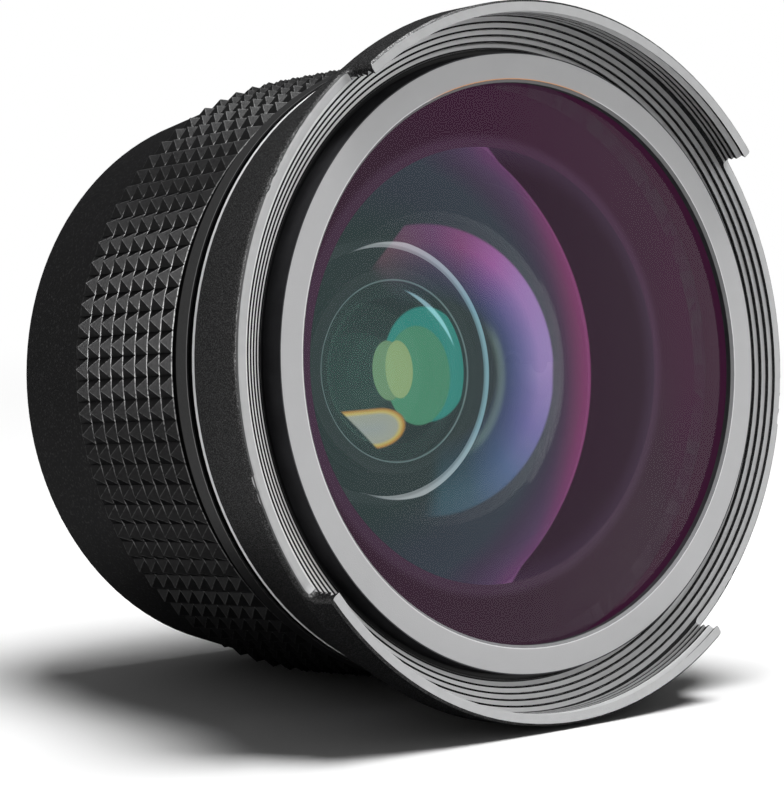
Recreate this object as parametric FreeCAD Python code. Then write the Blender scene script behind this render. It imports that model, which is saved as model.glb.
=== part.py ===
import FreeCAD
import Part
import math
import os

# Wide-angle conversion lens lying on its side, in millimetres.
# Every piece is first built about the optical axis, which is local Z: the glass looks
# towards +Z and height 0 is the low rim of the hood. At the end all pieces are laid down
# together, so that the front looks along -Y, leaning back on the hood and the grip.

# Front opening and name ring
aperture_radius = 30.5
name_ring_width = 3.2
name_ring_lift = 0.3
ring_bevel = 0.3
ring_skirt_depth = 5.2

# Hood: stepped mouth, low rim and the two petals
recess_width = 0.6
stair_count = 5
stair_tread = 0.67
stair_rise = 0.44
rim_width = 1.25
edge_chamfer = 0.25
petal_height = 4.0
petal_span_deg = 90.2
petal_clock_deg = 10.0
petal_groove_count = 3
petal_groove_pitch = 0.78
petal_groove_depth = 0.32
petal_groove_height = 0.6
lip_groove_depth = 0.5
lip_groove_top = 0.9
lip_groove_slope = 0.38
petal_root_radius = 1.2
petal_corner_radius = 0.6
hood_band_depth = 0.9
hood_depth = 13.65
hood_tail_band = 0.45
hood_stub_length = 4.2

# Grip barrel with its field of pyramids
barrel_wall = 3.1
knurl_columns = 90
knurl_rows = 8
knurl_row_pitch = 2.375
knurl_depth = 0.85
knurl_clock_deg = 1.7
land_length = 2.0
parting_groove_width = 0.75
parting_groove_depth = 0.8
knurl_groove_width = 2.0
knurl_groove_depth = 1.15
knurl_core_wall = 0.4
grip_tube_wall = 1.2
grip_bore_step = 2.0
grip_waist_step = 2.0

# Front lens and the soft ring that it is clamped on
lens_overlap = 1.4
front_curve_radius = 200.0
front_vertex_height = 1.6
front_lens_back = 13.75
front_bowl_radius = 47.2
front_bowl_rim = 23.35
front_bowl_bevel = 0.5
gasket_thickness = 0.5
gasket_width = 2.0

# Light baffle behind the front lens
seat_lip = 0.3
baffle_flange = 1.0
baffle_mouth_clearance = 0.3
baffle_ledge = 1.0
baffle_wall = 0.9
baffle_throat_clearance = 0.5

# Lens cell with the second lens and the cemented pair, which sits in the macro section
cell_bore_radius = 14.4
cell_counterbore = 0.6
cell_lip = 0.35
cell_nose_length = 3.45
cell_step_count = 3
cell_step_tread = 1.0
cell_step_rise = 0.65
cell_flange_width = 2.6
cell_flange_thickness = 2.0
ring_recess = 0.4
lock_ring_width = 1.3
lock_ring_thickness = 1.35
second_ring_lift = 0.2
second_ring_inner = 13.1
second_ring_thickness = 1.2
second_ring_bevel = 0.25
second_curve_radius = 45.0
second_lens_edge = 2.2
second_bowl_radius = 22.0
second_bowl_rim = 10.5
spacer_length = 3.6
spacer_wall = 3.4
crown_curve_radius = 40.0
crown_edge = 1.2
cement_curve_radius = 26.0
flint_edge = 5.2
flint_curve_radius = 90.0
doublet_ring_width = 2.8
doublet_ring_thickness = 1.8

# Macro section, which unscrews from the grip
macro_length = 14.0
macro_taper = 1.8
macro_stub_length = 4.0
macro_stub_wall = 2.5
macro_web_thickness = 2.5
cover_shoulder_width = 1.65
cover_thickness = 1.6
cover_bevel = 0.4
spanner_slot_width = 1.6
spanner_slot_depth = 0.9

# Filter thread at the back, 58 mm with a pitch of 0.75 mm
filter_thread_radius = 29.0
filter_thread_length = 3.5
filter_thread_wall = 2.4
thread_relief_width = 0.5
thread_relief_depth = 0.6

# Clearances
screw_clearance = 0.05
glass_clearance = 0.1
screw_home_gap = 0.05

# Radii that follow from the opening outwards
name_ring_radius = aperture_radius + name_ring_width
ring_bore_radius = name_ring_radius + screw_clearance
recess_radius = ring_bore_radius + recess_width
rim_inner_radius = recess_radius + stair_count * stair_tread
hood_radius = rim_inner_radius + rim_width
front_lens_radius = aperture_radius + lens_overlap
lens_bore_radius = front_lens_radius + glass_clearance
grip_radius = lens_bore_radius + barrel_wall
knurl_floor_radius = grip_radius - knurl_depth
knurl_core_radius = knurl_floor_radius - knurl_core_wall
grip_bore_radius = knurl_floor_radius - grip_tube_wall
grip_inner_radius = grip_bore_radius - grip_bore_step
grip_waist_radius = grip_inner_radius - grip_waist_step
hood_stub_radius = grip_bore_radius - screw_clearance

# Heights that follow from the rim backwards
recess_floor = -(stair_count + 1) * stair_rise
ring_seat = -ring_skirt_depth
gasket_seat = -(front_lens_back + gasket_thickness)
grip_front = -hood_depth
land_front = grip_front - parting_groove_width
land_rear = land_front - land_length
knurl_front = land_rear - knurl_groove_width
knurl_rear = knurl_front - knurl_rows * knurl_row_pitch
macro_front = knurl_rear - screw_home_gap
macro_rear = macro_front - macro_length

# Seats inside the hood
baffle_seat_radius = front_lens_radius - gasket_width - seat_lip
baffle_bore_radius = baffle_seat_radius - baffle_ledge

# Seats inside the macro section
macro_stub_radius = grip_inner_radius - screw_clearance
macro_bore_radius = filter_thread_radius - filter_thread_wall
cover_shoulder_radius = macro_bore_radius - cover_shoulder_width
web_rear = macro_front - macro_web_thickness
thread_end = macro_rear - thread_relief_width - filter_thread_length

# Lens cell, from its nose backwards
counterbore_radius = cell_bore_radius + cell_counterbore
cell_nose_radius = counterbore_radius + cell_lip
cell_radius = cell_nose_radius + cell_step_count * cell_step_tread
web_bore_radius = cell_radius + screw_clearance
lock_ring_radius = web_bore_radius + lock_ring_width
lock_ring_front = macro_front + lock_ring_thickness
cell_lens_radius = cell_bore_radius - glass_clearance
cell_ring_radius = cell_bore_radius - screw_clearance
cell_front = macro_front + cell_nose_length
second_ring_radius = counterbore_radius - screw_clearance
second_ring_front = cell_front + second_ring_lift
second_ring_rear = second_ring_front - second_ring_thickness
spacer_inner_radius = cell_ring_radius - spacer_wall
doublet_ring_inner = cell_ring_radius - doublet_ring_width

UP = FreeCAD.Vector(0, 0, 1)
ACROSS = FreeCAD.Vector(1, 0, 0)
CENTRE = FreeCAD.Vector(0, 0, 0)


def on_section(radius, height):
    return FreeCAD.Vector(radius, 0, height)


def sag(curve_radius, radius):
    """Depth of a spherical face from its crown to the given radius."""
    return curve_radius - math.sqrt(curve_radius ** 2 - radius ** 2)


def turned(section):
    """Solid turned about the axis from (radius, height) points."""
    corners = [on_section(radius, height) for radius, height in section]
    outline = Part.makePolygon(corners + corners[:1])
    return Part.Face(outline).revolve(CENTRE, UP, 360)


def plain_ring(inner, outer, low, high):
    return turned([(inner, low), (outer, low), (outer, high), (inner, high)])


def cap_arc(centre_height, rim_radius, rim_height, curve_radius):
    """Arc of a spherical face, from its crown on the axis out to its rim."""
    side = 1 if centre_height > rim_height else -1
    middle_radius = rim_radius / 2
    middle_height = centre_height - side * sag(curve_radius, middle_radius)
    crown = on_section(0, centre_height)
    middle = on_section(middle_radius, middle_height)
    return Part.Arc(crown, middle, on_section(rim_radius, rim_height)).toShape()


def ground_lens(radius, front, back, back_bevel=0):
    """Round lens; front and back are (crown height, curve radius, rim radius, rim height).
    The hollow behind can have a ground bevel between its rim and the flat around it."""
    front_crown, front_curve, front_rim, front_rim_height = front
    back_crown, back_curve, back_rim, back_rim_height = back
    top = cap_arc(front_crown, front_rim, front_rim_height, front_curve)
    bottom = cap_arc(back_crown, back_rim, back_rim_height, back_curve)
    edge = [on_section(front_rim, front_rim_height)]
    if front_rim < radius:
        edge.append(on_section(radius, front_rim_height))
    edge.append(on_section(radius, back_rim_height - back_bevel))
    if back_rim < radius:
        edge.append(on_section(back_rim + back_bevel, back_rim_height - back_bevel))
    if back_bevel > 0:
        edge.append(on_section(back_rim, back_rim_height))
    axis_line = Part.makeLine(on_section(0, back_crown), on_section(0, front_crown))
    sides = Part.makePolygon(edge).Edges
    outline = Part.Wire(Part.__sortEdges__([top] + sides + [bottom, axis_line]))
    return Part.Face(outline).revolve(CENTRE, UP, 360)


# Hood: one turned piece with a flared outside and a stepped mouth. Its front edge is
# milled down to the low rim on both sides, which leaves two petals with grooved insides.
def hood_blank():
    lip_groove_root = petal_height - lip_groove_top
    section = [
        (baffle_bore_radius, grip_front - hood_stub_length),
        (hood_stub_radius, grip_front - hood_stub_length),
        (hood_stub_radius, grip_front),
        (grip_radius - edge_chamfer, grip_front),
        (grip_radius, grip_front + edge_chamfer),
        (grip_radius, grip_front + edge_chamfer + hood_tail_band),
        (hood_radius, -hood_band_depth),
        (hood_radius, petal_height - edge_chamfer),
        (hood_radius - edge_chamfer, petal_height),
        (rim_inner_radius, petal_height),
        (rim_inner_radius + lip_groove_depth, lip_groove_root),
        (rim_inner_radius, lip_groove_root - lip_groove_slope),
    ]
    ledge = lip_groove_root - lip_groove_slope
    for groove in range(petal_groove_count):
        ledge -= petal_groove_pitch
        section.append((rim_inner_radius, ledge + petal_groove_height))
        section.append((rim_inner_radius + petal_groove_depth, ledge))
        section.append((rim_inner_radius, ledge))
    radius = rim_inner_radius
    height = -stair_rise
    for step in range(stair_count):
        section.append((radius, height))
        radius -= stair_tread
        section.append((radius, height))
        height -= stair_rise
    section += [
        (recess_radius, recess_floor),
        (ring_bore_radius, recess_floor),
        (ring_bore_radius, ring_seat),
        (lens_bore_radius, ring_seat),
        (lens_bore_radius, gasket_seat),
        (baffle_seat_radius, gasket_seat),
        (baffle_seat_radius, gasket_seat - baffle_flange),
        (baffle_bore_radius, gasket_seat - baffle_flange),
    ]
    return turned(section)


def rim_cutter(middle_deg):
    """Milled gap between the petals, with the cutter's rounded lower corners."""
    inside = rim_inner_radius - rim_width
    outside = hood_radius + rim_width
    top = 2 * petal_height
    span = 180 - petal_span_deg
    corners = [
        on_section(inside, 0),
        on_section(outside, 0),
        on_section(outside, top),
        on_section(inside, top),
    ]
    cutter = Part.Face(Part.makePolygon(corners + corners[:1])).revolve(CENTRE, UP, span)
    lower = []
    for edge in cutter.Edges:
        is_straight = isinstance(edge.Curve, Part.Line)
        if is_straight and edge.BoundBox.ZMax < petal_root_radius:
            lower.append(edge)
    cutter = cutter.makeFillet(petal_root_radius, lower)
    cutter.rotate(CENTRE, UP, middle_deg - span / 2)
    return cutter


def hood():
    blank = hood_blank()
    side = -petal_clock_deg
    for middle_deg in (side, side + 180):
        blank = blank.cut(rim_cutter(middle_deg))
    corners = []
    for edge in blank.Edges:
        ends = [vertex.Point for vertex in edge.Vertexes]
        is_upright = len(ends) == 2 and abs(ends[0].z - ends[1].z) > petal_height / 2
        if is_upright and math.hypot(ends[0].x, ends[0].y) > hood_radius - edge_chamfer:
            corners.append(edge)
    return blank.makeFillet(petal_corner_radius, corners)


# Name ring: screwed into the hood, it clamps the front lens. Its flat grey face is bare.
def name_ring():
    edge_drop = front_vertex_height - sag(front_curve_radius, front_lens_radius)
    bore_drop = front_vertex_height - sag(front_curve_radius, aperture_radius)
    section = [
        (aperture_radius, bore_drop + screw_clearance),
        (lens_bore_radius, edge_drop + screw_clearance),
        (lens_bore_radius, ring_seat),
        (name_ring_radius, ring_seat),
        (name_ring_radius, name_ring_lift),
        (aperture_radius + ring_bevel, name_ring_lift),
        (aperture_radius, name_ring_lift - ring_bevel),
    ]
    return turned(section)


# Front lens: a big negative lens, almost flat outside and deeply hollowed behind.
def front_lens():
    edge_height = front_vertex_height - sag(front_curve_radius, front_lens_radius)
    bowl_rim_height = front_bowl_bevel - front_lens_back
    bowl_crown = bowl_rim_height + sag(front_bowl_radius, front_bowl_rim)
    front = (front_vertex_height, front_curve_radius, front_lens_radius, edge_height)
    back = (bowl_crown, front_bowl_radius, front_bowl_rim, bowl_rim_height)
    return ground_lens(front_lens_radius, front, back, front_bowl_bevel)


def front_lens_gasket():
    return plain_ring(
        front_lens_radius - gasket_width, front_lens_radius, gasket_seat, -front_lens_back
    )


# Baffle: a thin black funnel from the front lens down to the lens cell.
def light_baffle():
    mouth = front_bowl_rim + front_bowl_bevel + baffle_mouth_clearance
    flange_rear = gasket_seat - baffle_flange
    throat = lock_ring_radius + baffle_throat_clearance
    throat_height = lock_ring_front + baffle_throat_clearance
    section = [
        (mouth, gasket_seat),
        (baffle_seat_radius - screw_clearance, gasket_seat),
        (baffle_seat_radius - screw_clearance, flange_rear),
        (mouth + baffle_wall, flange_rear),
        (throat + baffle_wall, throat_height),
        (throat, throat_height),
    ]
    return turned(section)


# Grip barrel: a tube with a thicker waist between its two inner screw threads. Its outside
# is a field of four-sided pyramids behind a groove, with a plain land next to the hood.
def knurl_point(radius, column, row):
    angle = math.radians(360 / knurl_columns * column + knurl_clock_deg)
    height = knurl_rear + row * knurl_row_pitch
    return FreeCAD.Vector(radius * math.sin(angle), -radius * math.cos(angle), height)


def pyramid_faces(column, row):
    """Four faces that rise from the corners of one cell to its tip."""
    corners = [
        knurl_point(knurl_floor_radius, column - 0.5, row),
        knurl_point(knurl_floor_radius, column + 0.5, row),
        knurl_point(knurl_floor_radius, column + 0.5, row + 1),
        knurl_point(knurl_floor_radius, column - 0.5, row + 1),
    ]
    tip = knurl_point(grip_radius, column, row + 0.5)
    faces = []
    for first, second in zip(corners, corners[1:] + corners[:1]):
        faces.append(Part.Face(Part.makePolygon([first, second, tip, first])))
    return faces


def knurl_end_face(row):
    """Flat shoulder between the foot of the pyramids and the round core of the tube."""
    rim = [knurl_point(knurl_floor_radius, column - 0.5, row) for column in range(knurl_columns)]
    outer = Part.makePolygon(rim + rim[:1])
    core = Part.makeCircle(knurl_core_radius, FreeCAD.Vector(0, 0, rim[0].z), UP)
    return Part.Face([outer, Part.Wire(core)])


def grip_barrel():
    groove_floor = grip_radius - knurl_groove_depth
    parting_floor = grip_radius - parting_groove_depth
    stub_room = grip_front - hood_stub_length - glass_clearance
    macro_room = knurl_rear + macro_stub_length + glass_clearance
    outline = [
        (knurl_core_radius, knurl_front),
        (groove_floor, knurl_front),
        (groove_floor, land_rear),
        (grip_radius, land_rear),
        (grip_radius, land_front),
        (parting_floor, land_front),
        (parting_floor, grip_front),
        (grip_bore_radius, grip_front),
        (grip_bore_radius, stub_room),
        (grip_waist_radius, stub_room),
        (grip_waist_radius, macro_room),
        (grip_inner_radius, macro_room),
        (grip_inner_radius, knurl_rear),
        (knurl_core_radius, knurl_rear),
    ]
    open_section = Part.makePolygon([on_section(radius, height) for radius, height in outline])
    faces = list(open_section.revolve(CENTRE, UP, 360).Faces)
    faces.append(knurl_end_face(0))
    faces.append(knurl_end_face(knurl_rows))
    for row in range(knurl_rows):
        for column in range(knurl_columns):
            faces += pyramid_faces(column, row)
    shell = Part.makeShell(faces)
    shell.sewShape()
    solid = Part.Solid(shell)
    if solid.Volume < 0:
        solid.reverse()
    return solid


# Lens cell: a small tube held in the web of the macro section by a ring nut. The second
# lens, a spacer and the cemented pair lie in its bore between two retaining rings.
second_crown = second_ring_rear - screw_home_gap + sag(second_curve_radius, second_ring_inner)
second_edge = second_crown - sag(second_curve_radius, cell_lens_radius)
second_back = second_edge - second_lens_edge
spacer_front = second_back - screw_home_gap
spacer_rear = spacer_front - spacer_length
pair_front = spacer_rear - screw_home_gap
cement_edge = pair_front - crown_edge
cement_crown = cement_edge - sag(cement_curve_radius, cell_lens_radius)
flint_back = cement_edge - flint_edge
flint_crown = flint_back - sag(flint_curve_radius, cell_lens_radius)
flint_touch = flint_crown + sag(flint_curve_radius, doublet_ring_inner)
doublet_ring_front = flint_touch - screw_home_gap
doublet_ring_rear = doublet_ring_front - doublet_ring_thickness
cell_rear = doublet_ring_rear - ring_recess
cover_front = cell_rear + cover_thickness


def lens_cell():
    section = [(counterbore_radius, cell_front)]
    radius = cell_nose_radius
    height = cell_front
    for step in range(cell_step_count):
        section.append((radius, height))
        height -= cell_step_rise
        section.append((radius, height))
        radius += cell_step_tread
    section += [
        (cell_radius, height),
        (cell_radius, web_rear),
        (cell_radius + cell_flange_width, web_rear),
        (cell_radius + cell_flange_width, web_rear - cell_flange_thickness),
        (cell_radius, web_rear - cell_flange_thickness),
        (cell_radius, cell_rear),
        (cell_bore_radius, cell_rear),
        (cell_bore_radius, second_ring_rear),
        (counterbore_radius, second_ring_rear),
    ]
    return turned(section)


def cell_lock_ring():
    return plain_ring(web_bore_radius, lock_ring_radius, macro_front, lock_ring_front)


def second_lens():
    bowl_crown = second_back + sag(second_bowl_radius, second_bowl_rim)
    front = (second_crown, second_curve_radius, cell_lens_radius, second_edge)
    back = (bowl_crown, second_bowl_radius, second_bowl_rim, second_back)
    return ground_lens(cell_lens_radius, front, back)


def second_lens_ring():
    section = [
        (second_ring_inner, second_ring_rear),
        (second_ring_radius, second_ring_rear),
        (second_ring_radius, second_ring_front),
        (second_ring_inner + second_ring_bevel, second_ring_front),
        (second_ring_inner, second_ring_front - second_ring_bevel),
    ]
    return turned(section)


def lens_spacer():
    return plain_ring(spacer_inner_radius, cell_ring_radius, spacer_rear, spacer_front)


# Cemented pair: a biconvex front half and a thin-centred back half on one ground face.
def doublet_front():
    front_crown = pair_front + sag(crown_curve_radius, spacer_inner_radius)
    front = (front_crown, crown_curve_radius, spacer_inner_radius, pair_front)
    back = (cement_crown, cement_curve_radius, cell_lens_radius, cement_edge)
    return ground_lens(cell_lens_radius, front, back)


def doublet_back():
    front = (cement_crown, cement_curve_radius, cell_lens_radius, cement_edge)
    back = (flint_crown, flint_curve_radius, cell_lens_radius, flint_back)
    return ground_lens(cell_lens_radius, front, back)


def with_spanner_slots(ring, outer, rear):
    """Two slots across the back of a ring, for the wrench that turns it."""
    reach = outer + spanner_slot_width
    slot = Part.makeBox(spanner_slot_width, 2 * reach, spanner_slot_depth)
    slot.translate(FreeCAD.Vector(-spanner_slot_width / 2, -reach, rear))
    return ring.cut(slot)


def doublet_ring():
    ring = plain_ring(doublet_ring_inner, cell_ring_radius, doublet_ring_rear, doublet_ring_front)
    return with_spanner_slots(ring, cell_ring_radius, doublet_ring_rear)


# Macro section: a plain black barrel that screws into the grip. Its web carries the lens
# cell, and behind it is the filter thread that holds the whole thing.
def macro_barrel():
    front_radius = knurl_floor_radius
    rear_radius = front_radius - macro_taper
    section = [
        (macro_stub_radius - macro_stub_wall, macro_front + macro_stub_length),
        (macro_stub_radius, macro_front + macro_stub_length),
        (macro_stub_radius, macro_front),
        (front_radius, macro_front),
        (rear_radius, macro_rear + edge_chamfer),
        (rear_radius - edge_chamfer, macro_rear),
        (filter_thread_radius - thread_relief_depth, macro_rear),
        (filter_thread_radius - thread_relief_depth, macro_rear - thread_relief_width),
        (filter_thread_radius, macro_rear - thread_relief_width),
        (filter_thread_radius, thread_end + edge_chamfer),
        (filter_thread_radius - edge_chamfer, thread_end),
        (macro_bore_radius, thread_end),
        (macro_bore_radius, cover_front),
        (cover_shoulder_radius, cover_front),
        (cover_shoulder_radius, web_rear),
        (web_bore_radius, web_rear),
        (web_bore_radius, macro_front),
        (macro_stub_radius - macro_stub_wall, macro_front),
    ]
    return turned(section)


# Rear cover: a flat black ring that closes the back around the lens cell.
def rear_cover_ring():
    inner = cell_radius + screw_clearance
    outer = macro_bore_radius - screw_clearance
    section = [
        (inner, cover_front),
        (outer, cover_front),
        (outer, cell_rear),
        (inner + cover_bevel, cell_rear),
        (inner, cell_rear + cover_bevel),
    ]
    return with_spanner_slots(turned(section), outer, cell_rear)


# At rest the lens leans back on the rear edge of the hood's band and on the last row of
# knurl tips. The origin is under its middle, on the table.
last_tip_height = knurl_rear + knurl_row_pitch / 2
lowest_tip_turn = math.remainder(math.radians(knurl_clock_deg), 2 * math.pi / knurl_columns)
lowest_tip = grip_radius * math.cos(lowest_tip_turn)
lean = math.atan2(hood_radius - lowest_tip, -hood_band_depth - last_tip_height)
axis_height = hood_radius * math.cos(lean) + hood_band_depth * math.sin(lean)
front_reach = (hood_radius - edge_chamfer) * math.sin(lean) + petal_height * math.cos(lean)
rear_reach = (filter_thread_radius - edge_chamfer) * math.sin(lean) - thread_end * math.cos(lean)
rest_place = FreeCAD.Vector(0, (front_reach - rear_reach) / 2, axis_height)


def laid_down(shape):
    shape.rotate(CENTRE, ACROSS, 90 - math.degrees(lean))
    shape.translate(rest_place)
    return shape


pieces = {
    "hood": hood,
    "name_ring": name_ring,
    "front_lens": front_lens,
    "front_lens_gasket": front_lens_gasket,
    "light_baffle": light_baffle,
    "grip_barrel": grip_barrel,
    "macro_barrel": macro_barrel,
    "lens_cell": lens_cell,
    "cell_lock_ring": cell_lock_ring,
    "second_lens": second_lens,
    "second_lens_ring": second_lens_ring,
    "lens_spacer": lens_spacer,
    "doublet_front": doublet_front,
    "doublet_back": doublet_back,
    "doublet_ring": doublet_ring,
    "rear_cover_ring": rear_cover_ring,
}

os.makedirs("parts", exist_ok=True)
for name, build in pieces.items():
    piece = laid_down(build())
    piece.exportStep(f"parts/{name}.step")
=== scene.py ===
import math

import bpy
from mathutils import Euler, Matrix, Vector


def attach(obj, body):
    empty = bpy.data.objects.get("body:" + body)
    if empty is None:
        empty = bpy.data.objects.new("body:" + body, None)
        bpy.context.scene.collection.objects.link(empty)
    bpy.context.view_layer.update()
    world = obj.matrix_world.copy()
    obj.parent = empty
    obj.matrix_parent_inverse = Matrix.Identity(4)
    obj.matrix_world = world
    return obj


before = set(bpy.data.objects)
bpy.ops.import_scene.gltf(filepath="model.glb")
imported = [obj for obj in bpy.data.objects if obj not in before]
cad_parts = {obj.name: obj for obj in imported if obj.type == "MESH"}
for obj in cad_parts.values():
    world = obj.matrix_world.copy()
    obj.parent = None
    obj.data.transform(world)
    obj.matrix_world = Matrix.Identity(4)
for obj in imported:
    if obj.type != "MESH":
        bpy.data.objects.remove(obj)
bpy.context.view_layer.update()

# The table top: a sheet of matt white board under the lens. It keeps the soft
# shadow near the lens and runs into the white surroundings further out.
scene = bpy.context.scene
scene.view_settings.view_transform = "Standard"


class Wire:
    """A value or colour on its way through a finish. Sums and products add Math nodes."""

    def __init__(self, finish, socket):
        self.finish = finish
        self.socket = socket

    def calc(self, operation, *values):
        settings = {"operation": operation}
        return self.finish.node("ShaderNodeMath", settings, dict(enumerate(values)))[0]

    def __add__(self, other):
        return self.calc("ADD", self, other)

    __radd__ = __add__

    def __sub__(self, other):
        return self.calc("SUBTRACT", self, other)

    def __rsub__(self, other):
        return self.calc("SUBTRACT", other, self)

    def __mul__(self, other):
        return self.calc("MULTIPLY", self, other)

    __rmul__ = __mul__

    def __truediv__(self, other):
        return self.calc("DIVIDE", self, other)

    def __abs__(self):
        return self.calc("ABSOLUTE", self)

    def __pow__(self, other):
        return self.calc("POWER", self, other)

    def fraction(self):
        """What is left above the whole number below."""
        return self.calc("FRACT", self)

    def at_least(self, other):
        """The larger of the two."""
        return self.calc("MAXIMUM", self, other)

    def angle_over(self, across):
        """The angle, in radians, of a point that lies this far up and so far across."""
        return self.calc("ARCTAN2", self, across)

    def above(self, edge, soft):
        """0 below the edge and 1 above it, over a soft width."""
        stretch = {0: self, 1: edge - soft / 2, 2: edge + soft / 2, 3: 0.0, 4: 1.0}
        return self.finish.node("ShaderNodeMapRange", {"interpolation_type": "SMOOTHSTEP"}, stretch)[0]

    def below(self, edge, soft):
        return 1 - self.above(edge, soft)

    def between(self, low, high, soft):
        return self.above(low, soft) * self.below(high, soft)

    def share(self, low, high):
        """0 at the low value and 1 at the high one, straight in between and held outside."""
        return self.finish.node("ShaderNodeMapRange", None, {0: self, 1: low, 2: high, 3: 0.0, 4: 1.0})[0]


class Node:
    """A node of a finish, whose outputs are wires by number or name."""

    def __init__(self, finish, made):
        self.finish = finish
        self.made = made

    def __getitem__(self, name):
        return Wire(self.finish, self.made.outputs[name])


class Finish:
    """The node sheet of one material, or of the world."""

    def __init__(self, owner):
        self.owner = owner
        owner.use_nodes = True
        self.tree = owner.node_tree
        self.tree.nodes.clear()

    def node(self, kind, settings=None, values=None):
        """A node of this kind: its settings first, then its sockets, by a number or a name."""
        made = self.tree.nodes.new(kind)
        for key, value in (settings or {}).items():
            if key == "stops":
                ramp = made.color_ramp
                while len(ramp.elements) < len(value):
                    ramp.elements.new(0.5)
                for element, (place, colour) in zip(ramp.elements, value):
                    element.position = place
                    element.color = (*colour, 1.0)
            else:
                setattr(made, key, value)
        for key, value in (values or {}).items():
            socket = made.inputs[key]
            if isinstance(value, Wire):
                self.tree.links.new(value.socket, socket)
            elif isinstance(value, tuple) and len(value) == 3 and socket.type == "RGBA":
                socket.default_value = (*value, 1.0)
            else:
                socket.default_value = value
        return Node(self, made)

    def seen(self):
        """1 for what the camera, a reflection or a look through glass shows, 0 for the light given."""
        path = self.node("ShaderNodeLightPath")
        return path["Is Camera Ray"].at_least(path["Is Glossy Ray"]).at_least(path["Is Transmission Ray"])

    def mix(self, share, first, second):
        """A colour between two colours."""
        return self.node("ShaderNodeMix", {"data_type": "RGBA"}, {0: share, 6: first, 7: second})[2]

    def tint(self, share, colour):
        """A colour times a share."""
        return self.node("ShaderNodeVectorMath", {"operation": "SCALE"}, {0: colour, 3: share})[0]

    def sum(self, first, second):
        """Two colours added."""
        return self.node("ShaderNodeVectorMath", {"operation": "ADD"}, {0: first, 1: second})[0]

    def ramp(self, place, *stops):
        """A colour taken between stops that lie along the way from 0 to 1."""
        return self.node("ShaderNodeValToRGB", {"stops": stops}, {0: place})[0]

    def skin(self, **values):
        """A plain surface with its sockets set."""
        names = {key.replace("_", " "): value for key, value in values.items()}
        return self.node("ShaderNodeBsdfPrincipled", None, names)[0]

    def layers(self, share, under, over):
        """Two surfaces laid over each other; the share is that of the upper one."""
        return self.node("ShaderNodeMixShader", None, {0: share, 1: under, 2: over})[0]

    def show(self, skin):
        self.node("ShaderNodeOutputMaterial", None, {"Surface": skin})
        return self.owner

    def surface(self, **values):
        return self.show(self.skin(**values))


white = (1.0, 1.0, 1.0)
floor_colour = (0.86, 0.86, 0.86)
floor_reach = 6.0
shadow_reach = 0.30
shadow_fade = 0.36
board_grain = 900.0

mesh = bpy.data.meshes.new("table_top")
mesh.from_pydata([(-floor_reach, -floor_reach, 0), (floor_reach, -floor_reach, 0),
                  (floor_reach, floor_reach, 0), (-floor_reach, floor_reach, 0)], [], [(0, 1, 2, 3)])
table_top = bpy.data.objects.new("table_top", mesh)
scene.collection.objects.link(table_top)

board = Finish(bpy.data.materials.new("matt_white_board"))
tooth = board.node("ShaderNodeTexNoise", None, {"Scale": board_grain, "Detail": 2.0})[0]
spot = board.node("ShaderNodeTexCoord")["Object"]
away = board.node("ShaderNodeVectorMath", {"operation": "LENGTH"}, {0: spot})["Value"]
far = away.above(shadow_reach, shadow_fade)
board.surface(
    Base_Color=board.tint(1 - far, floor_colour),
    Roughness=0.8 + 0.1 * tooth,
    Specular_IOR_Level=0.0,
    Emission_Color=board.tint(board.seen() * far, white),
    Emission_Strength=1.0)
mesh.materials.append(board.owner)

# The white surroundings and the soft lamps: a tent of white cloth around the
# table, a wide lamp over it, one in front and a tall card that shines from the left.
tent_strength = 0.11
lamp_distance = 0.9
lamps_look_at = Vector((0.0, 0.0, 0.035))

tent = Finish(bpy.data.worlds.new("white_tent"))
scene.world = tent.owner
brightness = tent_strength + (1.0 - tent_strength) * tent.seen()
cloth = tent.node("ShaderNodeBackground", None, {"Color": white, "Strength": brightness})[0]
tent.node("ShaderNodeOutputWorld", None, {"Surface": cloth})


def soft_lamp(name, azimuth, elevation, width, height, watts):
    """A rectangular lamp that looks at the lens. Its azimuth is counted in degrees from the front
    to the right, its elevation from the table. It isn't seen through the glass."""
    lamp = bpy.data.lights.new(name, "AREA")
    lamp.shape = "RECTANGLE"
    lamp.size = width
    lamp.size_y = height
    lamp.energy = watts
    holder = bpy.data.objects.new(name, lamp)
    scene.collection.objects.link(holder)
    azimuth = math.radians(azimuth)
    elevation = math.radians(elevation)
    flat = math.cos(elevation)
    away = Vector((flat * math.sin(azimuth), -flat * math.cos(azimuth), math.sin(elevation)))
    holder.location = lamps_look_at + lamp_distance * away
    holder.rotation_euler = away.to_track_quat("Z", "Y").to_euler()
    holder.visible_transmission = False
    return holder


soft_lamp("lamp_above", azimuth=48, elevation=81, width=0.44, height=0.44, watts=11.5)
fill = soft_lamp("lamp_front", azimuth=12, elevation=27, width=0.4, height=0.4, watts=3.9)
card = soft_lamp("shine_card_left", azimuth=-70, elevation=26, width=0.2, height=0.85, watts=7.5)
fill.visible_glossy = False
card.visible_diffuse = False

# The front lamp is flagged off the table, so that only one shadow lies there.
flag = bpy.data.collections.new("flag_before_the_table")
flag.objects.link(table_top)
fill.light_linking.receiver_collection = flag
flag.collection_objects[0].light_linking.link_state = "EXCLUDE"

# The camera, where the photographer stood: to the left of the front glass and
# just above it, with a long lens.
camera_place = (-0.206342, -0.261128, 0.067560)
camera_turn = [math.radians(angle) for angle in (84.031585, 0.0, -38.419565)]

view = bpy.data.cameras.new("camera")
view.sensor_fit = "HORIZONTAL"
view.sensor_width = 36.0
view.lens = 133.163
view.clip_start = 0.01
camera = bpy.data.objects.new("camera", view)
scene.collection.objects.link(camera)
camera.location = camera_place
camera.rotation_euler = Euler(camera_turn, "XYZ")
scene.camera = camera

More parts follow.
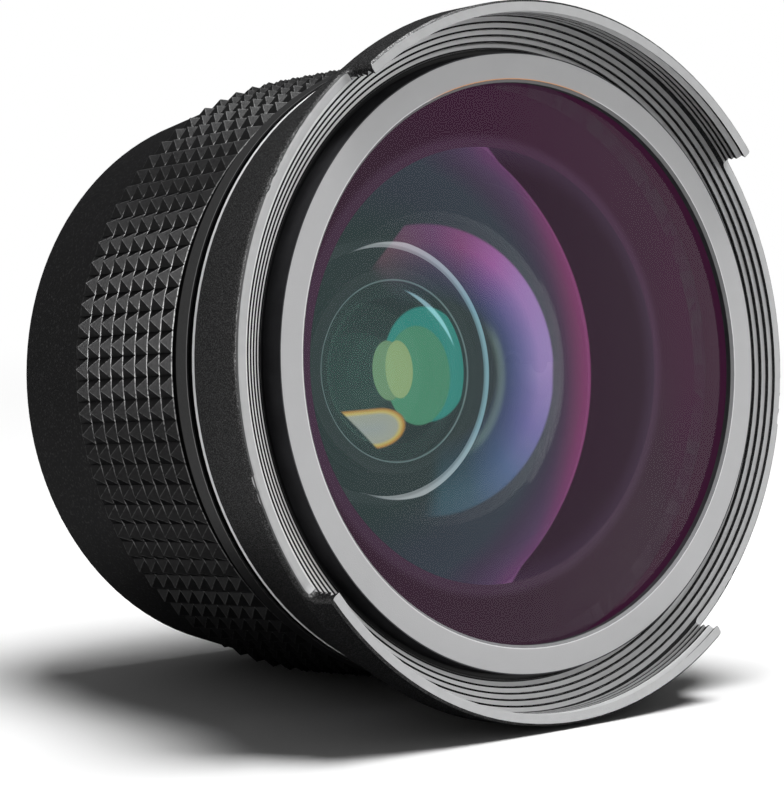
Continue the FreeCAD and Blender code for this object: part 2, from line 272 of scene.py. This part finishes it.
# The petal hood: one turned and milled aluminium ring, screwed on the grip.
# It is anodised black with a fine grain. The rim, the treads of the stepped mouth and
# the petals' tips, all that looks forward, carry a painted pale grey reflection of the front light.
lens_lean = math.radians(6.246955602)
lens_place = (0.0, -0.025030898, 0.038816652)
lens_turn = (math.pi / 2 - lens_lean, 0.0, 0.0)
millimetre = 0.001


class LensFinish(Finish):
    """A finish that knows the lens's own directions, in millimetres from the low rim of the hood:
    x to the right seen from the front, y up, z forward along the axis, radius and clock around it.
    The value front is 1 where the surface looks straight forward."""

    def __init__(self, name):
        super().__init__(bpy.data.materials.new(name))
        spot = self.node("ShaderNodeTexCoord")
        self.place = self.node("ShaderNodeMapping", {"vector_type": "TEXTURE"},
                               {"Vector": spot["Object"], "Location": lens_place,
                                "Rotation": lens_turn, "Scale": (millimetre,) * 3})[0]
        parts = self.node("ShaderNodeSeparateXYZ", None, {0: self.place})
        self.x, self.y, self.z = parts[0], parts[1], parts[2]
        self.radius = (self.x * self.x + self.y * self.y) ** 0.5
        self.clock = self.y.angle_over(self.x)
        facing = self.node("ShaderNodeMapping", {"vector_type": "TEXTURE"},
                           {"Vector": spot["Normal"], "Rotation": lens_turn})[0]
        self.front = self.node("ShaderNodeSeparateXYZ", None, {0: facing})[2]

    def along(self, x, y):
        """How far a place lies in a direction seen along the axis."""
        return self.x * x + self.y * y

    def away_from(self, x, y, width=1.0, height=1.0):
        """How far a place lies from a point seen along the axis, counted in the half width and the
        half height of an oval around it."""
        return (((self.x - x) / width) ** 2.0 + ((self.y - y) / height) ** 2.0) ** 0.5

    def oval(self, x, y, width, height, soft):
        """1 inside an oval seen along the axis, by its half width and half height, and 0 outside it."""
        return self.away_from(x, y, width, height).below(1.0, soft)

    def noise(self, scale, detail=2.0, place=None):
        return self.node("ShaderNodeTexNoise", None,
                         {"Vector": place or self.place, "Scale": scale, "Detail": detail})[0]

    def bump(self, height, distance, strength):
        return self.node("ShaderNodeBump", None,
                         {"Strength": strength, "Distance": distance, "Height": height})[0]

    def turning_lines(self, pitch, way=None):
        """Very fine lathe lines, as a height from 0 to 1. They follow each other outwards, or along
        the way that is given."""
        way = way or self.radius
        return way.calc("PINGPONG", way, pitch) / pitch

    def anodised(self, gloss, roughness, low=0.0030, high=0.0055):
        """Black anodising: a dull black body under a thin gloss that stays even at a glancing view."""
        bluer = 1.08
        body = self.mix(self.noise(0.35, 3.0), (low, low, low * bluer), (high, high, high * bluer))
        normal = self.bump(self.noise(7.0, 3.0), distance=0.00003, strength=0.5)
        dull = self.skin(Base_Color=body, Roughness=0.8, Specular_IOR_Level=0.0, Normal=normal)
        shine = self.skin(Base_Color=white, Metallic=1.0, Roughness=roughness, Normal=normal)
        return self.layers(gloss, dull, shine)


looks_forward = 0.74
left_x = 5.0
left_fade = 40.0
lowest_tread = 34.35
highest_tread = 37.66
tread_width = 0.67
tread_shade_edge = 0.05
tread_shade_edge_left = 0.22
recess_radius = 34.45
outside_radius = 34.9
rim_line_inside = 38.60
rim_line_outside = 38.78
rim_face_outside = 38.86
rim_half_height = 0.3
tail_band_back = -13.5
tail_band_front = -12.97
tail_band_radius = 34.6
painted_reflection_grey_dark = (0.36, 0.362, 0.365)
painted_reflection_grey_pale = (0.43, 0.432, 0.435)
tread_highlight_left = (0.66, 0.66, 0.665)

hood_skin = LensFinish("hood_anodised_with_faced_rim")
left = hood_skin.x.below(left_x, left_fade)

# All that looks forward is painted pale grey as a reflection of the front light, apart from a painted shade
# line inside each tread and a dark line on the rim.
rim_corner = hood_skin.z.below(rim_half_height, 0.1) * hood_skin.radius.above(rim_face_outside, 0.04)
faces_front = hood_skin.front.above(looks_forward, 0.06) * (1 - rim_corner)
on_treads = hood_skin.radius.between(lowest_tread, highest_tread, 0.03)
across_tread = ((hood_skin.radius - lowest_tread) / tread_width).fraction()
# Painted shade: a dark line at the inner edge of each tread, wider on the left, where the step above shades
# it.
shade_width = tread_shade_edge + left * (tread_shade_edge_left - tread_shade_edge)
tread_shade_line = on_treads * across_tread.below(shade_width / tread_width, 0.06)
rim_line = hood_skin.radius.between(rim_line_inside, rim_line_outside, 0.05)
rim_line = rim_line * hood_skin.z.between(-rim_half_height, rim_half_height, 0.1)
bright = faces_front * hood_skin.radius.above(lowest_tread, 0.03) * (1 - tread_shade_line) * (1 - 0.8 * rim_line)
# Painted highlight: a pale band round the hood's back edge.
tail_highlight = hood_skin.z.between(tail_band_back, tail_band_front, 0.06)
tail_highlight = tail_highlight * hood_skin.radius.above(tail_band_radius, 0.1)

# The black is specked on the outside and streaked in the recess of the mouth.
outside = hood_skin.radius.above(outside_radius, 0.2) * (1 - faces_front)
speck = hood_skin.noise(7.0).above(0.55, 0.16)
recess = hood_skin.radius.below(recess_radius, 0.1)
round_and_deep = hood_skin.node("ShaderNodeCombineXYZ", None, {0: hood_skin.radius, 1: hood_skin.z})[0]
streak = hood_skin.noise(2.4, place=round_and_deep).above(0.55, 0.3)
gloss = 0.007 + outside * (0.008 + 0.042 * speck) + recess * (0.006 + 0.022 * streak)

blasted = hood_skin.noise(5.0, 3.0)
# Painted highlight: the treads on the left are painted paler than the other forward faces.
painted_reflection_grey = hood_skin.mix(hood_skin.noise(0.8, 4.0), painted_reflection_grey_dark, painted_reflection_grey_pale)
# This pale grey skin is the painted reflection on the forward faces.
metal = hood_skin.skin(
    Base_Color=hood_skin.mix(on_treads * left, painted_reflection_grey, tread_highlight_left),
    Metallic=0.12,
    Roughness=0.5 + 0.1 * (blasted - 0.5),
    Specular_IOR_Level=0.3,
    Normal=hood_skin.bump(blasted, distance=0.00003, strength=0.5))
black = hood_skin.anodised(gloss, roughness=0.36)
hood_skin.show(hood_skin.layers(bright.at_least(tail_highlight), black, metal))

# The name ring: a flat aluminium ring pressed in front of the glass, plain matt
# grey on its front and black on its sides. A fine painted highlight runs round its
# inner edge, warm at the top.
ring_face_inside = 30.75
ring_face_outside = 33.56
ring_line_inside = 30.76
ring_line_outside = 30.90
ring_bevel_outside = 30.78
warm_above = 28.9
ring_dark = (0.375, 0.375, 0.38)
ring_pale = (0.40, 0.40, 0.405)
highlight_grey = (0.62, 0.62, 0.63)
highlight_warm = (0.62, 0.33, 0.18)

ring_skin = LensFinish("name_ring_matt_grey")
face = ring_skin.front.above(0.9, 0.1) * ring_skin.radius.between(ring_face_inside, ring_face_outside, 0.06)
bore_bevel = ring_skin.radius.below(ring_bevel_outside, 0.04) * ring_skin.front.between(0.35, 0.95, 0.1)
inner_highlight = ring_skin.radius.between(ring_line_inside, ring_line_outside, 0.05)
highlight_colour = ring_skin.mix(ring_skin.y.above(warm_above, 1.6), highlight_grey, highlight_warm)
matt = ring_skin.mix(ring_skin.noise(0.25), ring_dark, ring_pale)
blast = ring_skin.noise(9.0, 3.0)
ring_grey = ring_skin.skin(
    Base_Color=ring_skin.mix(inner_highlight, matt, highlight_colour),
    Metallic=0.10,
    Roughness=0.55 + 0.08 * (blast - 0.5),
    Specular_IOR_Level=0.3,
    Normal=ring_skin.bump(blast, distance=0.00003, strength=0.5))
ring_black = ring_skin.anodised(gloss=0.010, roughness=0.4, low=0.02, high=0.05)
ring_skin.show(ring_skin.layers(face + 0.35 * bore_bevel, ring_black, ring_grey))

# The front glass: a thick meniscus of dense glass, ground round on the front and hollowed
# to a deep bowl behind. Its coating's reflection in the bowl is a painted glow, teal seen
# straight and purple at a slant. The flat behind and the edge are black with a painted maroon glow.
dense_glass_index = 1.65
total_reflection = 1 - math.sqrt(1 - 1 / dense_glass_index ** 2)
bowl_rim_radius = 23.35
bowl_bevel_radius = 23.85
glass_edge_radius = 31.7
glass_edge_height = -1.1
front_half_depth = -5.0
steady_radius = 1.1
window_x = -9.5
window_radius = 15.35
window_dark_share = 0.47
window_bright_share = 0.88
window_from = -1.62
window_to = 2.05
window_colours_from = math.radians(-90)
window_colours_to = math.radians(110)
window_lower_cut = -12.17
window_upper_cut = 18.75
arc_middle = (-11.8, -0.5)
arc_inside = 9.7
arc_outside = 10.7
arc_low = -8.6
arc_high = 3.8
arc_left = -7.0
redder_x = 7.0
redder_slant = 0.165
upper_right_reach = 18.0
far_right_from = 23.5
far_right_to = 29.0
rim_pale_inside = 22.6
rim_pale_outside = 24.5
mirrored_pale_from = 21.0
mirrored_pale_to = 23.3


def steady_pole(skin):
    """The surface's own direction, taken from the flat facets right at the axis, where many thin
    ones meet in one corner."""
    shape = skin.node("ShaderNodeNewGeometry")
    pole = skin.radius.below(steady_radius, 0.02)
    return skin.node("ShaderNodeMix", {"data_type": "VECTOR"},
                     {0: pole, 4: shape["Normal"], 5: shape["True Normal"]})[1]


front_glass = LensFinish("front_glass_coated")
polished = steady_pole(front_glass)
slant = front_glass.node("ShaderNodeLayerWeight", None, {"Blend": 0.5, "Normal": polished})["Facing"]
behind = front_glass.z.below(front_half_depth, 0.2)
bowl = behind * front_glass.radius.below(bowl_rim_radius, 0.04)
inside = front_glass.node("ShaderNodeNewGeometry")["Backfacing"]
coating_glow = front_glass.ramp(
    slant / total_reflection,
    (0.00, (0.030, 0.047, 0.046)), (0.24, (0.031, 0.048, 0.048)), (0.44, (0.036, 0.046, 0.058)),
    (0.63, (0.036, 0.047, 0.061)), (0.76, (0.046, 0.038, 0.064)), (0.88, (0.066, 0.043, 0.086)),
    (0.95, (0.090, 0.042, 0.102)), (1.00, (0.096, 0.042, 0.108)))
# Painted reflection: the glow is redder to the right at a slant.
redder = front_glass.x.above(redder_x, 8.0) * slant.above(redder_slant, 0.05)
coating_glow = front_glass.sum(coating_glow, front_glass.tint(redder, (0.070, -0.002, 0.008)))

# A painted reflection of a lamp in the bowl, given as a glow: a window of light, round on the right, cut
# straight above and below, dark in its middle.
reach = front_glass.away_from(window_x, 0.0) / window_radius
turn = front_glass.y.angle_over(front_glass.x - window_x)
window = reach.below(1.0, 0.03) * turn.between(window_from, window_to, 0.2)
window = window * front_glass.along(-0.34, 0.94).above(window_lower_cut, 0.25)
window = window * front_glass.along(-0.68, 0.73).below(window_upper_cut, 0.3)
window_colour = front_glass.ramp(
    turn.share(window_colours_from, window_colours_to),
    (0.00, (0.010, 0.040, 0.055)), (0.08, (0.012, 0.046, 0.068)), (0.19, (0.035, 0.070, 0.165)),
    (0.30, (0.105, 0.080, 0.255)), (0.42, (0.205, 0.130, 0.335)), (0.50, (0.215, 0.130, 0.340)),
    (0.62, (0.235, 0.105, 0.315)), (0.71, (0.235, 0.050, 0.225)), (0.80, (0.145, 0.015, 0.100)),
    (0.87, (0.085, 0.010, 0.070)), (1.00, (0.075, 0.020, 0.035)))
glow = reach.share(window_dark_share, window_bright_share)
fade = front_glass.node("ShaderNodeCombineXYZ", None, {0: glow * glow, 1: glow ** 1.3, 2: glow})[0]
window_colour = front_glass.node("ShaderNodeVectorMath", {"operation": "MULTIPLY"},
                                 {0: window_colour, 1: fade})[0]
coating_glow = front_glass.sum(coating_glow, front_glass.tint(window, window_colour))

# A painted pale arc of reflected light inside the window.
arc = front_glass.away_from(*arc_middle).between(arc_inside, arc_outside, 0.9)
arc = arc * front_glass.y.between(arc_low, arc_high, 3.0) * front_glass.x.above(arc_left, 2.0)
coating_glow = front_glass.sum(coating_glow, front_glass.tint(arc, (0.060, 0.085, 0.060)))

glass = front_glass.skin(
    Base_Color=white,
    Roughness=0.0,
    IOR=dense_glass_index,
    Transmission_Weight=1.0,
    Specular_Tint=(0.03, 0.02, 0.03),
    Normal=polished,
    Emission_Color=front_glass.tint(bowl * inside, coating_glow),
    Emission_Strength=1.0)

# The maroon is a painted reflection, given as a glow: redder to the right and on the edge and paler around
# the bowl's rim. It also stands for what the bowl shows where it reflects totally.
flat = behind * front_glass.radius.between(bowl_bevel_radius, glass_edge_radius, 0.04)
edge = front_glass.z.below(glass_edge_height, 0.1) * front_glass.radius.above(glass_edge_radius, 0.04)
bevel = behind * front_glass.radius.between(bowl_rim_radius, bowl_bevel_radius, 0.04)
slanted = bowl * inside * slant.above(total_reflection, 0.004)
upper_right = front_glass.along(1.0, 1.0).above(upper_right_reach, 30.0)
maroon = front_glass.mix(upper_right, (0.038, 0.019, 0.032), (0.040, 0.012, 0.031))
maroon = front_glass.mix(front_glass.x.share(far_right_from, far_right_to), maroon, (0.042, 0.008, 0.030))
maroon = front_glass.mix(edge, maroon, (0.036, 0.008, 0.025))
around_rim = front_glass.radius.between(rim_pale_inside, rim_pale_outside, 1.2)
maroon = front_glass.sum(maroon, front_glass.tint(around_rim, (0.020, 0.014, 0.024)))
towards_rim = front_glass.radius.share(mirrored_pale_from, mirrored_pale_to)
mirrored = front_glass.sum((0.025, 0.010, 0.022), front_glass.tint(towards_rim, (0.016, 0.012, 0.022)))
maroon = front_glass.mix(slanted, maroon, mirrored)
# Black paint that glows with the painted maroon reflection.
paint = front_glass.skin(
    Base_Color=(0.001, 0.001, 0.001),
    Roughness=0.9,
    Specular_IOR_Level=0.0,
    Emission_Color=maroon,
    Emission_Strength=1.0)
front_glass.show(front_glass.layers(flat + edge + bevel + slanted, glass, paint))

# The gasket: a thin flat rubber ring between the glass and the baffle. Its face
# against the glass glows with the painted maroon reflection of the glass's flat, as both lie in one plane.
gasket_face_height = -13.8
gasket_maroon = (0.036, 0.017, 0.031)

gasket_skin = LensFinish("gasket_rubber")
gasket_skin.surface(
    Base_Color=gasket_skin.mix(gasket_skin.noise(2.0), (0.010, 0.010, 0.010), (0.016, 0.016, 0.016)),
    Roughness=0.7 + 0.1 * gasket_skin.noise(5.0),
    Specular_IOR_Level=0.1,
    Emission_Color=gasket_skin.tint(gasket_skin.z.above(gasket_face_height, 0.02), gasket_maroon),
    Emission_Strength=1.0,
    Normal=gasket_skin.bump(gasket_skin.noise(4.0), distance=0.00001, strength=0.3))

# The light baffle: a turned cone behind the front glass, grooved and painted
# dead black so that no stray light reaches the inner lenses.
baffle_groove_pitch = 0.35

baffle_skin = LensFinish("baffle_dead_black")
grooves = baffle_skin.turning_lines(baffle_groove_pitch, baffle_skin.z)
baffle_skin.surface(
    Base_Color=baffle_skin.mix(baffle_skin.noise(1.2), (0.003, 0.0032, 0.0035), (0.005, 0.0052, 0.0055)),
    Roughness=0.8 + 0.1 * baffle_skin.noise(6.0),
    Specular_IOR_Level=0.0,
    Normal=baffle_skin.bump(grooves, distance=0.00005, strength=0.4))

# The grip barrel: the main barrel, turned from aluminium, with a pyramid knurl
# cut around it and a plain land and a groove in front. The anodising is worn
# along the pyramids' edges and at the foot of each row.
knurl_back = -37.4
knurl_front = -18.42
knurl_row_pitch = 2.375
knurl_columns = 90
knurl_turn = math.radians(88.3)
knurl_least_radius = 33.0
land_back = -16.45
land_edge_back = -14.52
land_least_radius = 34.9

grip_skin = LensFinish("grip_anodised")
on_knurl = grip_skin.z.between(knurl_back, knurl_front, 0.02)
on_knurl = on_knurl * grip_skin.radius.above(knurl_least_radius, 0.2)
row = ((grip_skin.z - knurl_back) / knurl_row_pitch).fraction() - 0.5
column = ((grip_skin.clock + knurl_turn) * (knurl_columns / (2 * math.pi)) + 0.5).fraction() - 0.5
ridge = abs(abs(row) - abs(column)).below(0.035, 0.03) * abs(row).below(0.42, 0.05)
foot = row.above(0.455, 0.03)
scratch = grip_skin.noise(3.0, 4.0)
worn = on_knurl * (0.22 * ridge + foot) * scratch.above(0.42, 0.25)
land = grip_skin.radius.above(land_least_radius, 0.05) * grip_skin.z.above(land_back, 0.02)
land_edge = land * grip_skin.z.above(land_edge_back, 0.05)
gloss = 0.007 + 0.010 * scratch + 0.10 * worn + 0.022 * land + 0.10 * land_edge
grip_skin.show(grip_skin.anodised(gloss, roughness=0.30))

# The macro barrel: the smooth rear barrel that carries the inner lenses and
# ends in the filter thread. It unscrews from the grip and is a close-up lens
# on its own. It is plain satin black, a little worn on the thread.
thread_pitch = 0.75
thread_root_radius = 28.97
thread_crest_radius = 29.14
thread_from = -54.85
thread_to = -52.30
crest_half_width = 0.06
root_half_width = 0.35
least_height = 0.01
steps_per_turn = 96
run_out_steps = 20
worn_inside = 29.05
worn_outside = 29.3
worn_front = -51.4

macro_skin = LensFinish("macro_barrel_anodised")
speck = macro_skin.noise(3.2).above(0.62, 0.16)
crest = macro_skin.radius.between(worn_inside, worn_outside, 0.05) * macro_skin.z.below(worn_front, 0.1)
gloss = 0.010 + 0.012 * speck + 0.06 * crest
macro_skin.show(macro_skin.anodised(gloss, roughness=0.38))

# The thread itself, which the solid leaves out: one ridge wound around it, thinning out at both ends.
to_world = Matrix.LocRotScale(Vector(lens_place), Euler(lens_turn), Vector((millimetre,) * 3))
steps = round((thread_to - thread_from) / thread_pitch * steps_per_turn)
least_radius = thread_root_radius + least_height
points = []
for step in range(steps + 1):
    angle = 2 * math.pi * step / steps_per_turn
    height = thread_from + thread_pitch * step / steps_per_turn
    grown = min(1.0, step / run_out_steps, (steps - step) / run_out_steps)
    crest_radius = least_radius + grown * (thread_crest_radius - least_radius)
    for radius, aside in ((thread_root_radius, -root_half_width), (crest_radius, -crest_half_width),
                          (crest_radius, crest_half_width), (thread_root_radius, root_half_width)):
        point = Vector((radius * math.cos(angle), radius * math.sin(angle), height + aside))
        points.append(to_world @ point)
faces = [(3, 2, 1, 0), tuple(4 * steps + corner for corner in range(4))]
for step in range(steps):
    for corner in range(4):
        here, over = 4 * step + corner, 4 * step + (corner + 1) % 4
        faces.append((here, over, over + 4, here + 4))
mesh = bpy.data.meshes.new("filter_thread_ridge")
mesh.from_pydata(points, [], faces)
mesh.materials.append(macro_skin.owner)
ridge_piece = bpy.data.objects.new("filter_thread_ridge", mesh)
scene.collection.objects.link(ridge_piece)
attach(ridge_piece, "macro_section")

# The lens cell and its rings: turned aluminium painted black that holds the
# inner lenses in the macro barrel. The second ring has a painted highlight line
# inside, given as a glow, and only the lock ring is left bare.
ring_line_pitch = 0.12
lock_ring_line_pitch = 0.1
second_ring_line_radius = 13.3
lit_middle_x = 2.4
lit_radius = 19.32
lit_from_x = -7.5
lit_fully_x = -3.0
brightest_radius = 18.9
greyer_from = 9.0
greyer_to = 19.0


def painted_ring(name, low, high, rough, shine):
    """Black lacquer on a turned ring, with fine lathe lines."""
    skin = LensFinish(name)
    skin.surface(
        Base_Color=skin.mix(skin.noise(0.8, 3.0), (low,) * 3, (high,) * 3),
        Roughness=rough + 0.08 * (skin.noise(6.0) - 0.5),
        Specular_IOR_Level=shine,
        Normal=skin.bump(skin.turning_lines(ring_line_pitch), distance=0.00001, strength=0.5))
    return skin.owner


cell_paint = painted_ring("lens_cell_black", 0.009, 0.013, rough=0.6, shine=0.0)
ring_paint = painted_ring("retaining_ring_black", 0.014, 0.022, rough=0.4, shine=0.12)

bright_inside = LensFinish("second_ring_bright_inside")
highlight_line = bright_inside.radius.below(second_ring_line_radius, 0.06) * bright_inside.front.above(0.3, 0.1)
bright_inside.surface(
    Base_Color=bright_inside.mix(highlight_line, (0.010, 0.012, 0.012), (0.10, 0.11, 0.11)),
    Roughness=0.4,
    Specular_IOR_Level=0.12,
    Emission_Color=bright_inside.tint(highlight_line, (0.050, 0.085, 0.085)),
    Emission_Strength=1.0)

# The bare metal carries painted light on its front only, as a paler colour and a glow, from the right round
# to the middle, and greyer above and below.
lock_skin = LensFinish("lock_ring_bare_metal")
lit = lock_skin.away_from(lit_middle_x, 0.0).below(lit_radius, 0.2)
lit = lit * lock_skin.front.above(0.9, 0.1) * lock_skin.x.share(lit_from_x, lit_fully_x)
bare = lock_skin.mix(lock_skin.noise(0.6, 3.0), (0.50, 0.52, 0.54), (0.62, 0.64, 0.66))
greyer = abs(lock_skin.y).share(greyer_from, greyer_to)
lock_glow = lock_skin.mix(greyer, (0.14, 0.27, 0.31), (0.27, 0.29, 0.30))
outwards = lock_skin.radius.above(brightest_radius, 0.4)
lock_skin.surface(
    Base_Color=lock_skin.tint(0.04 + 0.30 * lit, bare),
    Metallic=1.0,
    Roughness=0.32 + 0.08 * (lock_skin.noise(5.0) - 0.5),
    Emission_Color=lock_skin.tint(lit * (0.55 + 0.45 * outwards), lock_glow),
    Emission_Strength=1.0,
    Normal=lock_skin.bump(lock_skin.turning_lines(lock_ring_line_pitch), distance=0.00001, strength=0.5))

# The inner lenses: the second lens in front and the cemented pair behind it,
# with green coatings. The front of the second lens glows with painted reflections of
# the lamps: soft discs, a warm drop and a crescent, laid over each other in this order.
inner_glass_index = 1.6
crown_curve_radius = 45.0
crown_height = -34.0
# Each disc has the place of its middle, its half width and half height, its soft edge and its colour.
discs = [
    (5.6, 0.7, 8.8, 8.6, 0.05, (0.008, 0.170, 0.140)),
    (3.3, -0.9, 6.3, 7.3, 0.04, (0.040, 0.180, 0.095)),
    (-2.4, 0.15, 2.75, 4.25, 0.05, (0.100, 0.185, 0.085)),
    (-0.58, 0.2, 2.42, 4.15, 0.05, (0.195, 0.285, 0.115))]
drop_x = -4.6
drop_y = -7.95
drop_half_width = 5.05
drop_half_height = 3.05
drop_cut = -10.85
crescent_middle = (-0.3, 0.3)
crescent_radius = 11.75
hollow_middle = (-10.0, -9.6)
hollow_radius = 24.7

second_glass = LensFinish("second_lens_coated")
sunk = second_glass.radius * second_glass.radius / (2 * crown_curve_radius)
crown = (second_glass.z + sunk).above(crown_height, 0.2)
crown = crown * (1 - second_glass.node("ShaderNodeNewGeometry")["Backfacing"])
shown = (0.0, 0.0, 0.0)
for x, y, width, height, soft, colour in discs:
    shown = second_glass.mix(second_glass.oval(x, y, width, height, soft), shown, colour)
across = (second_glass.x - drop_x).at_least(0.0) / drop_half_width
down = (second_glass.y - drop_y) / drop_half_height
drop_edge = (across * across + down * down) ** 0.5
drop = drop_edge.below(0.96, 0.12) * second_glass.along(0.714, 0.70).above(drop_cut, 0.35)
drop_colour = second_glass.ramp(
    drop_edge,
    (0.00, (0.235, 0.255, 0.245)), (0.66, (0.26, 0.27, 0.22)), (0.78, (0.42, 0.34, 0.09)),
    (0.89, (0.34, 0.17, 0.02)), (1.00, (0.10, 0.05, 0.02)))
shown = second_glass.mix(drop, shown, drop_colour)
crescent = second_glass.oval(*crescent_middle, crescent_radius, crescent_radius, 0.03)
hollow = second_glass.oval(*hollow_middle, hollow_radius, hollow_radius, 0.015)
shown = second_glass.sum(shown, second_glass.tint(crescent * (1 - hollow), (0.20, 0.33, 0.38)))
second_glass.surface(
    Base_Color=(0.94, 0.98, 0.97),
    Roughness=0.0,
    IOR=inner_glass_index,
    Transmission_Weight=1.0,
    Specular_Tint=(0.05, 0.12, 0.10),
    Normal=steady_pole(second_glass),
    Emission_Color=second_glass.tint(crown, shown),
    Emission_Strength=1.0)

# Painted shade: the cemented pair's glass is tinted nearly black, standing for the dark inside of the
# barrel.
rear_glass = LensFinish("rear_pair_coated")
rear_glass.surface(
    Base_Color=(0.05, 0.065, 0.06),
    Roughness=0.0,
    IOR=inner_glass_index,
    Transmission_Weight=1.0,
    Specular_Tint=(0.12, 0.30, 0.24),
    Normal=steady_pole(rear_glass))

# Every solid gets its finish. Nothing else about the solids is changed.
finishes = {
    "hood": hood_skin.owner, "name_ring": ring_skin.owner, "front_lens": front_glass.owner,
    "front_lens_gasket": gasket_skin.owner, "light_baffle": baffle_skin.owner,
    "grip_barrel": grip_skin.owner, "macro_barrel": macro_skin.owner, "lens_cell": cell_paint,
    "cell_lock_ring": lock_skin.owner, "second_lens": second_glass.owner,
    "second_lens_ring": bright_inside.owner, "lens_spacer": cell_paint, "doublet_front": rear_glass.owner,
    "doublet_back": rear_glass.owner, "doublet_ring": ring_paint, "rear_cover_ring": ring_paint,
}
for node, finish in finishes.items():
    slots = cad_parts[node].data.materials
    slots.clear()
    slots.append(finish)
